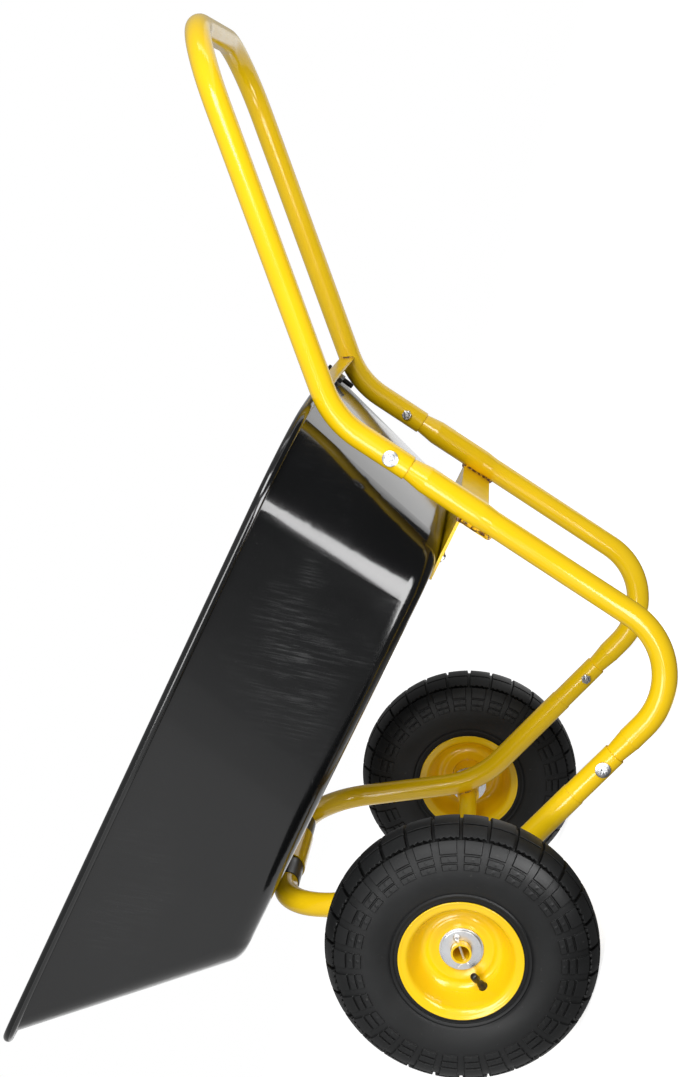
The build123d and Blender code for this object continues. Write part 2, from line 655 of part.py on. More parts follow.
# ---------------------------------------------------------------- standing place
def stance():
    """Nose-up angle that sets the wheels and the leg bends on level ground."""
    half_turn = 0.5 * (Vector(-LEG_LINE_LEAN, 0, -1).get_angle(
        Vector(NOSE_BEND_X - LEG_BEND_X, 0, NOSE_BEND_Z - LEG_BEND_Z)))
    reach = LEG_BEND_R / cos(radians(half_turn))
    up = Vector(LEG_LINE_LEAN, 0, 1).normalized()
    ahead = Vector(NOSE_BEND_X - LEG_BEND_X, 0, NOSE_BEND_Z - LEG_BEND_Z).normalized()
    inward = (up + ahead).normalized()
    centre = Vector(LEG_BEND_X, 0, LEG_BEND_Z) + inward * reach
    run, rise = centre.X - AXLE_X, centre.Z - AXLE_Z
    foot_r = LEG_BEND_R + TUBE_R
    return degrees(asin((WHEEL_R - foot_r) / hypot(run, rise))) + degrees(atan(rise / run))


def all_pieces():
    bolts, washers, nuts = joint_sets()
    floor_bolts, floor_nuts = floor_sets()
    rim_bolts, rim_nuts = rim_sets()
    pieces = {
        "tray": make_tray(),
        "handle_tube": make_handle(),
        "left_leg": make_left_leg(),
        "front_frame": make_front_frame(),
        "axle": make_axle(),
        "rim_bracket": make_rim_bracket(),
        "cross_bracket": make_cross_bracket(),
        "rubber_sleeve": make_sleeve(),
        "front_saddle": make_saddle(),
        "rim_bolts": rim_bolts,
        "rim_nuts": rim_nuts,
        "joint_bolts": [b for one in bolts for b in both_sides(one)],
        "joint_washers": [w for one in washers for w in both_sides(one)],
        "joint_nuts": [n for one in nuts for n in both_sides(one)],
        "cross_bracket_bolts": floor_bolts[:2],
        "cross_bracket_nuts": floor_nuts[:2],
        "saddle_bolts": floor_bolts[2:],
        "saddle_nuts": floor_nuts[2:],
        "left_axle_pin": make_left_pin(),
        "left_axle_washer": make_left_axle_washer(),
        "left_inner_washer": make_left_inner_washer(),
        "left_axle_spacer": make_left_spacer(),
    }
    pieces.update({f"left_{name}": piece for name, piece in left_wheel().items()})
    for name in [n for n in pieces if n.startswith("left_")]:
        pieces[name.replace("left_", "right_")] = mirror(pieces[name], about=Plane.XZ)
    return pieces


def as_solids(piece):
    """The separate solids of a piece, or of a list of pieces."""
    parts = piece if isinstance(piece, list) else [piece]
    return [solid for one in parts for solid in one.solids()]


def main():
    turn = Rot(0, stance(), 0)
    standing = {name: [turn * s for s in as_solids(piece)] for name, piece in all_pieces().items()}
    box = Compound([s for solids in standing.values() for s in solids]).bounding_box(optimal=True)
    middle = Vector((box.min.X + box.max.X) / 2, (box.min.Y + box.max.Y) / 2, box.min.Z)
    place = Pos(-middle.X, -middle.Y, -middle.Z)
    for name, solids in standing.items():
        moved = [place * s for s in solids]
        export_step(moved[0] if len(moved) == 1 else Compound(moved), f"parts/{name}.step")
    axle = place * (turn * Pos(AXLE_X, 0, AXLE_Z))
    print("stance", round(stance(), 3), "shift", middle, "axle", axle.position)
    print("box", box.size)


main()
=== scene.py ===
import json
from math import atan2, cos, hypot, pi, radians, sin

import bmesh
import bpy
from mathutils import Matrix, Vector, noise
from mathutils.bvhtree import BVHTree

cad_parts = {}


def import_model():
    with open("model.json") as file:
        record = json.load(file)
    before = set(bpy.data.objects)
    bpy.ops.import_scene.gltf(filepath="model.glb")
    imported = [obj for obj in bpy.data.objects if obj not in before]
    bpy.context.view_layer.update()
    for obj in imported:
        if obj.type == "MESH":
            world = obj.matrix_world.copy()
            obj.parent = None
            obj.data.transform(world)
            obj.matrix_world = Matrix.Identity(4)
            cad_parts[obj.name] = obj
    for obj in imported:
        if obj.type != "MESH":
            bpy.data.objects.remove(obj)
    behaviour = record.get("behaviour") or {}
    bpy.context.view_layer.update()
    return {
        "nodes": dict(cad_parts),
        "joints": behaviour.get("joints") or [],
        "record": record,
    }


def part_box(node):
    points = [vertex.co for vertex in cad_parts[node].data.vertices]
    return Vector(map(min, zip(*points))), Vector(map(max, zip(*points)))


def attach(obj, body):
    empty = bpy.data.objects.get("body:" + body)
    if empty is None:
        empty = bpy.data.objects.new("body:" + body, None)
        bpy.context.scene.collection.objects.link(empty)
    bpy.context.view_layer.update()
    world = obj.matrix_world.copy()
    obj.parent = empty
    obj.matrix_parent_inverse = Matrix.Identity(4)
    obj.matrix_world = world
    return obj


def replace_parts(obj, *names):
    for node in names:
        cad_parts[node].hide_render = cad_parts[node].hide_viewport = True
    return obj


# Two-wheel garden cart: looks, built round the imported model. Metres, in the model's own frame:
# +X back to the handle, -Y the left side, +Z up.

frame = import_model()

MM = 0.001
record = frame["record"]
nodes = frame["nodes"]
joint_at = {j["child"]: Vector(j["pos_m"]) for j in frame["joints"]}
stance = radians(9.2152)       # how far the tray's floor tips back from level as the cart stands
axle_at = Vector((joint_at["left_wheel"].x, 0, joint_at["left_wheel"].z))
SIDES = {"left": -1, "right": 1}


# ---------------------------------------------------------------- materials
class Shader:
    """A Principled material and short ways to add its texture nodes."""

    def __init__(self, name, **sockets):
        self.material = bpy.data.materials.new(name)
        self.material.use_nodes = True
        self.tree = self.material.node_tree
        self.surface = self.tree.nodes["Principled BSDF"]
        self.place = self.add("ShaderNodeTexCoord").outputs["Object"]
        for socket, value in sockets.items():
            self.surface.inputs[socket.replace("_", " ")].default_value = value

    def add(self, kind, **values):
        node = self.tree.nodes.new(kind)
        for key, value in values.items():
            if key in node.inputs:
                node.inputs[key].default_value = value
            else:
                setattr(node, key, value)
        return node

    def link(self, start, end):
        self.tree.links.new(start, end)

    def stretched(self, scale, turn=(0, 0, 0)):
        """The object's coordinates, squeezed so that a texture runs long along one way."""
        mapping = self.add("ShaderNodeMapping")
        mapping.inputs["Rotation"].default_value = turn
        mapping.inputs["Scale"].default_value = scale
        self.link(self.place, mapping.inputs["Vector"])
        return mapping.outputs["Vector"]

    def noise(self, scale, detail=3.0, rough=0.5, place=None):
        node = self.add("ShaderNodeTexNoise", Scale=scale, Detail=detail, Roughness=rough)
        self.link(place or self.place, node.inputs["Vector"])
        return node.outputs["Fac"]

    def spread(self, value, low, high, to_low=0.0, to_high=1.0):
        node = self.add("ShaderNodeMapRange")
        self.link(value, node.inputs["Value"])
        for key, number in zip(("From Min", "From Max", "To Min", "To Max"), (low, high, to_low, to_high)):
            node.inputs[key].default_value = number
        return node.outputs["Result"]

    def mix(self, fac, first, second):
        node = self.add("ShaderNodeMix", data_type="RGBA")
        self.link(fac, node.inputs[0])
        for socket, colour in ((node.inputs[6], first), (node.inputs[7], second)):
            if isinstance(colour, bpy.types.NodeSocket):
                self.link(colour, socket)
            else:
                socket.default_value = (*colour, 1)
        return node.outputs[2]

    def times(self, first, second, operation="MULTIPLY"):
        node = self.add("ShaderNodeMath", operation=operation)
        for socket, value in zip(node.inputs, (first, second)):
            if isinstance(value, bpy.types.NodeSocket):
                self.link(value, socket)
            else:
                socket.default_value = value
        return node.outputs[0]

    def edges(self, radius):
        """A mask of the outer edges and inner corners, and the rounded normal there."""
        bevel = self.add("ShaderNodeBevel", samples=4)
        bevel.inputs["Radius"].default_value = radius
        geometry = self.add("ShaderNodeNewGeometry")
        dot = self.add("ShaderNodeVectorMath", operation="DOT_PRODUCT")
        self.link(bevel.outputs["Normal"], dot.inputs[0])
        self.link(geometry.outputs["Normal"], dot.inputs[1])
        return self.spread(dot.outputs["Value"], 0.97, 0.80), bevel.outputs["Normal"]

    def bump(self, height, strength, distance, normal=None):
        node = self.add("ShaderNodeBump", Strength=strength, Distance=distance)
        self.link(height, node.inputs["Height"])
        if normal:
            self.link(normal, node.inputs["Normal"])
        return node.outputs["Normal"]

    def finish(self, colour, roughness, normal):
        self.link(colour, self.surface.inputs["Base Color"])
        self.link(roughness, self.surface.inputs["Roughness"])
        self.link(normal, self.surface.inputs["Normal"])
        return self.material


def yellow_paint():
    """Gloss powder coat: even yellow with slight orange peel, thinner and browner at its edges."""
    s = Shader("yellow_powder_coat", Coat_Weight=0.25, Coat_Roughness=0.05, Specular_IOR_Level=0.38)
    patches = s.noise(9.0, 4.0, 0.6)
    flecks = s.spread(s.noise(420.0, 2.0), 0.70, 0.78)
    worn, rounded = s.edges(0.0009)
    tone = s.mix(s.spread(patches, 0.3, 0.7), (0.94, 0.60, 0.0045), (0.98, 0.645, 0.0060))
    tone = s.mix(s.times(flecks, 0.10), tone, (0.55, 0.28, 0.01))
    tone = s.mix(s.times(s.times(worn, s.spread(s.noise(60.0), 0.35, 0.75)), 0.45), tone, (0.60, 0.30, 0.008))
    rough = s.spread(s.noise(26.0, 5.0, 0.6), 0.2, 0.8, 0.12, 0.27)
    peel = s.bump(s.noise(330.0, 2.0), 0.10, 0.0004, rounded)
    return s.finish(tone, rough, s.bump(patches, 0.06, 0.002, peel))


def black_paint():
    """Gloss black paint on pressed sheet, with rubbed streaks that dull it in patches."""
    s = Shader("black_gloss_paint", Coat_Weight=0.25, Coat_Roughness=0.05)
    along = (0, stance, 0)
    streaks = s.noise(1.0, 5.0, 0.65, s.stretched((380.0, 60.0, 22.0), along))
    cloud = s.noise(5.5, 4.0, 0.55)
    smudge = s.times(s.spread(streaks, 0.46, 0.66), s.spread(cloud, 0.54, 0.72))
    dust = s.spread(s.noise(700.0, 1.0), 0.72, 0.80)
    worn, rounded = s.edges(0.0008)
    tone = s.mix(s.spread(cloud, 0.3, 0.7), (0.0030, 0.0032, 0.0035), (0.0050, 0.0053, 0.0057))
    tone = s.mix(s.times(smudge, 0.3), tone, (0.020, 0.021, 0.023))
    tone = s.mix(s.times(dust, 0.35), tone, (0.05, 0.05, 0.05))
    tone = s.mix(s.times(worn, 0.25), tone, (0.06, 0.06, 0.06))
    rough = s.times(s.spread(cloud, 0.2, 0.8, 0.10, 0.20), s.times(smudge, 0.25), "ADD")
    sheet = s.bump(s.noise(7.0, 2.0, 0.4), 0.10, 0.004, rounded)
    return s.finish(tone, rough, s.bump(s.noise(260.0, 2.0), 0.05, 0.0003, sheet))


def tyre_rubber():
    """Moulded black rubber: satin walls with a grey bloom, fine grain, pale dust in the corners, and painted
    shade that darkens the tread's grooves.
    """
    s = Shader("tyre_rubber", Specular_IOR_Level=0.26)
    bloom = s.noise(14.0, 5.0, 0.65)
    grain = s.noise(900.0, 3.0, 0.7)
    specks = s.spread(s.noise(260.0, 2.0), 0.69, 0.76)
    worn, rounded = s.edges(0.0006)
    tone = s.mix(s.spread(bloom, 0.3, 0.72), (0.0075, 0.0078, 0.0080), (0.0135, 0.0140, 0.0145))
    tone = s.mix(s.times(worn, 0.35), tone, (0.030, 0.031, 0.032))
    tone = s.mix(s.times(specks, 0.35), tone, (0.060, 0.058, 0.053))
    # Painted shade: the tone turns near black where ambient occlusion finds grooves and creases, in place of
    # shadow in the tread.
    shade = s.add("ShaderNodeAmbientOcclusion", samples=6)
    shade.inputs["Distance"].default_value = 0.005
    tone = s.mix(s.spread(shade.outputs["AO"], 0.95, 0.45), tone, (0.0010, 0.0010, 0.0010))
    rough = s.spread(bloom, 0.25, 0.75, 0.40, 0.58)
    return s.finish(tone, rough, s.bump(grain, 0.22, 0.0004, s.bump(bloom, 0.08, 0.002, rounded)))


def plain_rubber(name, colour, rough_low, rough_high):
    """Smooth moulded rubber for the sleeve, the valves and the air tubes."""
    s = Shader(name, Specular_IOR_Level=0.5)
    patch = s.noise(60.0, 4.0, 0.6)
    lighter = tuple(c * 1.7 + 0.004 for c in colour)
    tone = s.mix(s.spread(patch, 0.35, 0.7), colour, lighter)
    rough = s.spread(patch, 0.3, 0.7, rough_low, rough_high)
    return s.finish(tone, rough, s.bump(s.noise(1500.0, 2.0), 0.15, 0.0002, s.edges(0.0005)[1]))


def plated_steel(name, bright, dull, rough_low, rough_high, metallic=1.0):
    """Plated steel: fine turned scratches, cloudy plating, darker in its corners."""
    s = Shader(name, Metallic=metallic)
    cloud = s.noise(45.0, 3.0, 0.5)
    scratch = s.noise(1.0, 3.0, 0.6, s.stretched((2600.0, 240.0, 2600.0)))
    worn, rounded = s.edges(0.0004)
    tone = s.mix(s.spread(cloud, 0.3, 0.7), dull, bright)
    tone = s.mix(s.times(worn, 0.15), tone, tuple(c * 0.6 for c in dull))
    rough = s.spread(s.times(cloud, scratch, "ADD"), 0.7, 1.3, rough_low, rough_high)
    return s.finish(tone, rough, s.bump(scratch, 0.04, 0.0002, rounded))


def weld_metal():
    """Weld beads under the powder coat: the same yellow, scorched brown in places."""
    s = Shader("painted_weld", Coat_Weight=0.2, Coat_Roughness=0.15)
    burn = s.noise(240.0, 4.0, 0.65)
    tone = s.mix(s.spread(burn, 0.38, 0.52), (0.88, 0.54, 0.010), (0.11, 0.036, 0.010))
    rough = s.spread(burn, 0.3, 0.7, 0.22, 0.5)
    return s.finish(tone, rough, s.bump(s.noise(1300.0, 3.0), 0.35, 0.0005))


def studio_floor():
    s = Shader("studio_floor", Specular_IOR_Level=0.1)
    cloud = s.noise(3.0, 3.0)
    tone = s.mix(cloud, (0.88, 0.88, 0.88), (0.91, 0.91, 0.91))
    s.surface.inputs["Emission Color"].default_value = (1, 1, 1, 1)
    s.surface.inputs["Emission Strength"].default_value = 0.80
    return s.finish(tone, s.spread(cloud, 0.0, 1.0, 0.7, 0.9), s.bump(cloud, 0.02, 0.001))


MATERIALS = {
    "yellow_paint": yellow_paint(),
    "black_paint": black_paint(),
    "tyre_rubber": tyre_rubber(),
    "tube_rubber": plain_rubber("air_tube_rubber", (0.010, 0.010, 0.010), 0.50, 0.70),
    "black_rubber": plain_rubber("black_rubber", (0.0045, 0.0045, 0.0045), 0.25, 0.42),
    "zinc": plated_steel("zinc_plate", (0.74, 0.75, 0.77), (0.62, 0.63, 0.65), 0.24, 0.34),
    "black_zinc": plated_steel("black_zinc", (0.035, 0.035, 0.038), (0.015, 0.015, 0.016), 0.25, 0.45, 0.6),
}
painted_weld = weld_metal()

for part in record["subparts"]:
    slots = nodes[part["node"]].material_slots
    for index in range(len(slots)):
        slots[index].material = MATERIALS[part["material_slot"]]


# ---------------------------------------------------------------- mesh helpers
def add_piece(name, points, faces, material, body, crease=35):
    """A mesh from points and faces, shaded smooth except across sharp edges."""
    mesh = bpy.data.meshes.new(name)
    mesh.from_pydata(points, [], faces)
    work = bmesh.new()
    work.from_mesh(mesh)
    bmesh.ops.remove_doubles(work, verts=work.verts, dist=1e-6)
    bmesh.ops.recalc_face_normals(work, faces=work.faces)
    work.to_mesh(mesh)
    work.free()
    mesh.polygons.foreach_set("use_smooth", [True] * len(mesh.polygons))
    mesh.set_sharp_from_angle(angle=radians(crease))
    mesh.materials.append(material)
    piece = bpy.data.objects.new(name, mesh)
    bpy.context.scene.collection.objects.link(piece)
    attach(piece, body)
    return piece


class Builder:
    """Collects the points and faces of one piece."""

    def __init__(self):
        self.points = []
        self.faces = []

    def rings(self, rings, closed_rings=False):
        """Joins rings of equal counts; caps the first and last unless they join up."""
        start, count = len(self.points), len(rings[0])
        for ring in rings:
            self.points.extend(ring)
        spans = len(rings) if closed_rings else len(rings) - 1
        for i in range(spans):
            a, b = start + i * count, start + (i + 1) % len(rings) * count
            for j in range(count):
                k = (j + 1) % count
                self.faces.append((a + j, a + k, b + k, b + j))
        if not closed_rings:
            last = start + (len(rings) - 1) * count
            self.faces.append(tuple(range(start, start + count)))
            self.faces.append(tuple(range(last, last + count)))

    def piece(self, name, material, body, slot, crease=35):
        return add_piece(name, self.points, self.faces, material, body, crease)


def basis(along, hint=Vector((0, 0, 1))):
    """Two directions square to a third."""
    along = along.normalized()
    if abs(along.dot(hint)) > 0.95:
        hint = Vector((1, 0, 0))
    side = along.cross(hint).normalized()
    return side, side.cross(along).normalized()


def turned_rings(stations, centre, along, count, shape=None, turn=0.0):
    """Rings about a line from (height, radius) stations in mm. shape(angle, radius) may bend a ring."""
    side, other = basis(along)
    rings = []
    for height, radius in stations:
        ring = []
        for i in range(count):
            angle = 2 * pi * i / count
            r = shape(angle, radius) if shape else radius
            way = side * cos(angle + turn) + other * sin(angle + turn)
            ring.append(centre + along * height * MM + way * r * MM)
        rings.append(ring)
    return rings


def smooth_line(points, steps):
    """Points of a Catmull-Rom curve through 2-D points."""
    line = []
    ends = [points[0], *points, points[-1]]
    for i in range(1, len(ends) - 2):
        p0, p1, p2, p3 = ends[i - 1:i + 3]
        for k in range(steps):
            t = k / steps
            weights = (-t + 2 * t ** 2 - t ** 3, 2 - 5 * t ** 2 + 3 * t ** 3,
                       t + 4 * t ** 2 - 3 * t ** 3, t ** 3 - t ** 2)
            line.append(tuple(sum(w * p[n] for w, p in zip(weights, (p0, p1, p2, p3))) / 2 for n in (0, 1)))
    return line + [points[-1]]


def solids(node):
    """The boxes of a CAD node's separate solids, as (low corner, high corner)."""
    work = bmesh.new()
    work.from_mesh(nodes[node].data)
    bmesh.ops.remove_doubles(work, verts=work.verts, dist=1e-6)
    left, boxes = set(work.verts), []
    while left:
        stack = [left.pop()]
        group = []
        while stack:
            vert = stack.pop()
            group.append(vert.co.copy())
            for edge in vert.link_edges:
                other = edge.other_vert(vert)
                if other in left:
                    left.remove(other)
                    stack.append(other)
        boxes.append((Vector(map(min, *group)), Vector(map(max, *group))))
    work.free()
    return sorted(boxes, key=lambda box: tuple(box[0]))


def middle(box):
    return (box[0] + box[1]) / 2


def level(x, y, z):
    """A direction or offset given with the tray's floor level, in the model's own frame."""
    return Vector((x * cos(stance) + z * sin(stance), y, -x * sin(stance) + z * cos(stance)))


def on_level(x, y, z):
    """A place given in mm from the axle's middle, with the tray's floor level."""
    return axle_at + level(x, y, z) * MM


# ---------------------------------------------------------------- camera, floor and light
SENSOR, LENS = 36.0, 56.8                  # mm
EYE = (658.5, -1765.4, 286.4)              # the camera's place, as on_level takes it
LOOK = (-0.2224, 0.9749, -0.0074)          # the way it looks, with the tray's floor level
PICTURE_UP = (0.8795, 0.2039, 0.4299)      # the way that is up in its picture


def camera():
    """From the left rear at the height of the tray, rolled so that the nose points down."""
    data = bpy.data.cameras.new("camera")
    data.sensor_fit = "VERTICAL"
    data.sensor_height = SENSOR
    data.lens = LENS
    data.clip_end = 60.0
    eye = bpy.data.objects.new("camera", data)
    bpy.context.scene.collection.objects.link(eye)
    eye.location = on_level(*EYE)
    look, upward = level(*LOOK), level(*PICTURE_UP)
    right = look.cross(upward).normalized()
    eye.rotation_euler = Matrix((right, right.cross(look), -look)).transposed().to_euler()
    bpy.context.scene.camera = eye


def floor():
    """A wide plain floor that lights the cart's underside only through its own glow."""
    half = 14.0
    corners = [(-half, -half, 0), (half, -half, 0), (half, half, 0), (-half, half, 0)]
    mesh = bpy.data.meshes.new("studio_floor")
    mesh.from_pydata(corners, [], [(0, 1, 2, 3)])
    mesh.materials.append(studio_floor())
    ground = bpy.data.objects.new("studio_floor", mesh)
    bpy.context.scene.collection.objects.link(ground)
    ground.visible_diffuse = False


def soft_box(name, at, aim, width, height, radiance):
    """A one-sided rectangular light of a given brightness, facing a point."""
    data = bpy.data.lights.new(name, "AREA")
    data.shape = "RECTANGLE"
    data.size = width
    data.size_y = height
    data.energy = radiance * pi * width * height
    light = bpy.data.objects.new(name, data)
    light.location = at
    light.rotation_euler = (Vector(aim) - Vector(at)).to_track_quat("-Z", "Y").to_euler()
    light.visible_camera = False
    bpy.context.scene.collection.objects.link(light)


SKY_LIGHT, SKY_GLOSS = 0.36, 0.42


def world():
    """A white backdrop that lights the scene more softly than it looks."""
    sky = bpy.data.worlds.new("studio")
    sky.use_nodes = True
    tree = sky.node_tree
    background = tree.nodes["Background"]
    background.inputs["Color"].default_value = (1, 1, 1, 1)
    ray = tree.nodes.new("ShaderNodeLightPath")
    dimmed = tree.nodes.new("ShaderNodeMapRange")
    dimmed.inputs["To Min"].default_value = SKY_GLOSS
    dimmed.inputs["To Max"].default_value = SKY_LIGHT
    tree.links.new(ray.outputs["Is Diffuse Ray"], dimmed.inputs["Value"])
    seen = tree.nodes.new("ShaderNodeMath")
    seen.operation = "MAXIMUM"
    tree.links.new(ray.outputs["Is Camera Ray"], seen.inputs[0])
    tree.links.new(dimmed.outputs["Result"], seen.inputs[1])
    tree.links.new(seen.outputs[0], background.inputs["Strength"])
    bpy.context.scene.world = sky


def card(name, corners, glow):
    """A sheet on the studio floor that only polished surfaces mirror; unlit, or glowing evenly."""
    mesh = bpy.data.meshes.new(name)
    height = CARD_LIFT + (LIGHT_LIFT if glow > 1 else 0.0)
    mesh.from_pydata([(x, y, height) for x, y in corners], [], [(0, 1, 2, 3)])
    s = Shader(name, Base_Color=(0, 0, 0, 1), Roughness=1.0, Specular_IOR_Level=0.0,
               Emission_Color=(1, 1, 1, 1), Emission_Strength=glow)
    mesh.materials.append(s.material)
    sheet = bpy.data.objects.new(name, mesh)
    bpy.context.scene.collection.objects.link(sheet)
    sheet.visible_camera = sheet.visible_diffuse = sheet.visible_shadow = False


CARD_LIFT = 0.002
LIGHT_LIFT = 0.004                     # a card that glows brightly lies over the others
CARD_NEAR, CARD_FAR = 0.3, -1.8        # how far the cards reach under the cart and out to its left
# Each card runs between two lines that fan out from the cart, given as x at CARD_NEAR and at CARD_FAR.
CARD_LINES = [
    (-3.0, -3.0), (-0.26, -0.76), (-0.235, -0.65), (-0.21, -0.54), (-0.17, -0.42), (-0.13, -0.28), (1.8, 1.8),
]
CARD_GLOWS = [0.82, 0.62, 0.40, 0.26, 0.17, 0.07]

camera()
floor()
world()
for index, glow in enumerate(CARD_GLOWS):
    (near_a, far_a), (near_b, far_b) = CARD_LINES[index:index + 2]
    corners = [(near_a, CARD_NEAR), (far_a, CARD_FAR), (far_b, CARD_FAR), (near_b, CARD_NEAR)]
    card(f"floor_card_{index}", corners, glow)
card("floor_light", [(-0.13, -0.34), (-0.01, -0.98), (0.14, -0.98), (0.13, -0.34)], 12.0)
soft_box("key", (0.62, -1.20, 0.66), (-0.05, -0.2, 0.25), 0.50, 0.50, 14.0)
soft_box("low_key", (-0.25, -1.25, 0.42), (-0.2, -0.25, 0.12), 0.50, 0.35, 9.0)
soft_box("back_strip", (1.7, -0.4, 0.9), (0.1, 0.0, 0.3), 0.25, 1.2, 3.5)
bpy.context.scene.view_settings.view_transform = "Standard"


# ---------------------------------------------------------------- tyres
PITCHES = 30                   # tread blocks round the tyre
TREAD_TURN = radians(7.4)      # where the first groove lies, from straight back
GROOVE = 3.2                   # depth of the tread's grooves, mm
WALL_INSET = 1.7               # the smooth wall under the raised lugs, mm
HALF_LENGTH = 102.7            # the whole half section, in the units that the rows below are given in


def arc_through(a, b, c, steps):
    """Points along the circle through three 2-D points."""
    ax, ay, bx, by, cx, cy = *a, *b, *c
    d = 2 * (ax * (by - cy) + bx * (cy - ay) + cx * (ay - by))
    sa, sb, sc = ax * ax + ay * ay, bx * bx + by * by, cx * cx + cy * cy
    ox = (sa * (by - cy) + sb * (cy - ay) + sc * (ay - by)) / d
    oy = (sa * (cx - bx) + sb * (ax - cx) + sc * (bx - ax)) / d
    r = hypot(ax - ox, ay - oy)
    start, mid, end = (atan2(y - oy, x - ox) for x, y in (a, b, c))
    turn = (end - start + pi) % (2 * pi) - pi
    if (mid - start) * turn < 0 and abs(turn) > 1e-6:
        turn -= 2 * pi * (1 if turn > 0 else -1)
    angles = [start + turn * i / steps for i in range(steps + 1)]
    return [(ox + r * cos(angle), oy + r * sin(angle)) for angle in angles]


class Outline:
    """The tyre's outer section from rim flange to the crown's middle, by distance along it in mm."""

    def __init__(self):
        side = arc_through((29.2, 60.3), (38.5, 88.0), (35.0, 110.0), 40)
        shoulder = arc_through((35.0, 110.0), (29.8, 119.2), (22.0, 125.6), 14)
        crown = arc_through((22.0, 125.6), (0.0, 132.0), (-22.0, 125.6), 24)[:13]
        self.points = side + shoulder[1:] + crown[1:]
        self.lengths = [0.0]
        for p, q in zip(self.points, self.points[1:]):
            self.lengths.append(self.lengths[-1] + hypot(q[0] - p[0], q[1] - p[1]))
        self.scale = self.lengths[-1] / HALF_LENGTH

    def at(self, s, inset):
        """The (distance out, radius) of a point at a depth under the outline."""
        s = min(max(s, 0.0), HALF_LENGTH) * self.scale
        i = 0
        while i < len(self.points) - 2 and self.lengths[i + 1] < s:
            i += 1
        p, q = self.points[i], self.points[i + 1]
        span = self.lengths[i + 1] - self.lengths[i]
        way = ((q[0] - p[0]) / span, (q[1] - p[1]) / span)
        w, r = p[0] + way[0] * (s - self.lengths[i]), p[1] + way[1] * (s - self.lengths[i])
        return w - inset * way[1], r + inset * way[0]


# Raised patches in one pitch: from and to along the outline, from and to round the pitch, top's depth.
CROWN_FROM, CROWN_TO = 0.07, 0.93
LUG_FROM, LUG_TO = 0.17, 0.83
PATCHES = [
    (38.8, 44.4, LUG_FROM, LUG_TO, 0.40),
    (46.8, 52.6, LUG_FROM, LUG_TO, 0.30),
    (55.4, 68.6, LUG_FROM, LUG_TO, 0.05),
    (72.4, 88.4, CROWN_FROM, CROWN_TO, 0.0),
    (91.0, 200.0, CROWN_FROM, CROWN_TO, 0.0),
]
DOTS = [(40.8, 42.4), (48.9, 50.5)]
DOT_FROM, DOT_TO = 0.47, 0.53
COLUMNS = [0.0, 0.05, 0.07, 0.10, 0.14, 0.17, 0.20, 0.26, 0.32, 0.38, 0.44, 0.47,
           0.53, 0.56, 0.62, 0.68, 0.74, 0.80, 0.83, 0.86, 0.90, 0.93, 0.95]
ROWS = [0.0, 1.6, 3.0, 3.6, 4.2, 5.0, 6.2, 7.4, 8.2, 8.8, 9.6, 12.0, 15.0, 18.0, 21.0, 24.0, 27.0, 30.0, 33.0,
        35.5, 37.2, 38.2, 38.8, 40.2, 40.8, 42.4, 43.0, 44.4, 45.0, 46.2, 46.8, 48.3, 48.9, 50.5, 51.1, 52.6,
        53.2, 54.7, 55.4, 58.0, 61.0, 64.0, 66.6, 68.6, 69.6, 71.2, 72.4, 73.4, 76.0, 80.0, 84.0, 87.4, 88.4,
        89.0, 90.4, 91.0, 92.0, 96.0, 100.0]
BEAD_RING = (4.2, 7.4)


def depth_at(s, u):
    """How far the tyre's surface lies under its outline."""
    if s < BEAD_RING[0] - 0.3:
        base = WALL_INSET * min(1.0, s / 3.0)
    elif s <= BEAD_RING[1] + 0.3:
        base = 0.25 + 0.5 * abs((s - sum(BEAD_RING) / 2) / 1.6) ** 2 * 0.4
    elif s < 70:
        base = WALL_INSET
    else:
        base = GROOVE
    if 8.2 <= s <= 9.0:
        base = WALL_INSET + 0.35
    for low, high, start, stop, top in PATCHES:
        if low - 1e-6 <= s <= high + 1e-6 and start - 1e-6 <= u <= stop + 1e-6:
            base = top
    for low, high in DOTS:
        if low - 1e-6 <= s <= high + 1e-6 and DOT_FROM - 1e-6 <= u <= DOT_TO + 1e-6:
            base = 0.0
    return base


def zigzag(s, u):
    """Teeth along the shoulder edge of each crown block."""
    if not 71.0 < s < 76.5 or not 0.15 < u < 0.85:
        return 0.0
    tooth = abs(((u - 0.14) / 0.12) % 2 - 1)
    return (tooth - 0.5) * 2.2 * (1.0 if s < 74 else 0.4)


# The tyre's inside, from the bead's foot over its toe to under the tread, as (distance out, radius).
TYRE_INSIDE = [
    (29.2, 53.1), (26.9, 51.4), (20.0, 51.4), (20.0, 57.0), (29.5, 78.0), (30.5, 100.0), (24.5, 117.5),
]
INSIDE_TOP = (0.0, 122.0)


def tyre(side):
    """The treaded tyre: one section per column of a pitch, repeated round the wheel."""
    outline = Outline()
    sections = []
    for u in COLUMNS:
        half = [outline.at(s + zigzag(s, u), depth_at(s, u)) for s in ROWS]
        top = [outline.at(HALF_LENGTH, depth_at(HALF_LENGTH, u))]
        loop = half + top + [(-w, r) for w, r in reversed(half)]
        loop += [(-w, r) for w, r in TYRE_INSIDE] + [INSIDE_TOP] + list(reversed(TYRE_INSIDE))
        sections.append(loop)
    centre = joint_at[f"{side}_wheel"]
    out = Vector((0, SIDES[side], 0))
    rings = []
    for pitch in range(PITCHES):
        for u, section in zip(COLUMNS, sections):
            angle = TREAD_TURN + 2 * pi * (pitch + u) / PITCHES
            way = Vector((cos(angle), 0, -sin(angle)))
            rings.append([centre + way * r * MM + out * w * MM for w, r in section])
    build = Builder()
    build.rings(rings, closed_rings=True)
    piece = build.piece(f"{side}_treaded_tyre", MATERIALS["tyre_rubber"], f"{side}_wheel", "tyre_rubber", 28)
    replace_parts(piece, f"{side}_tyre")


for side in SIDES:
    tyre(side)


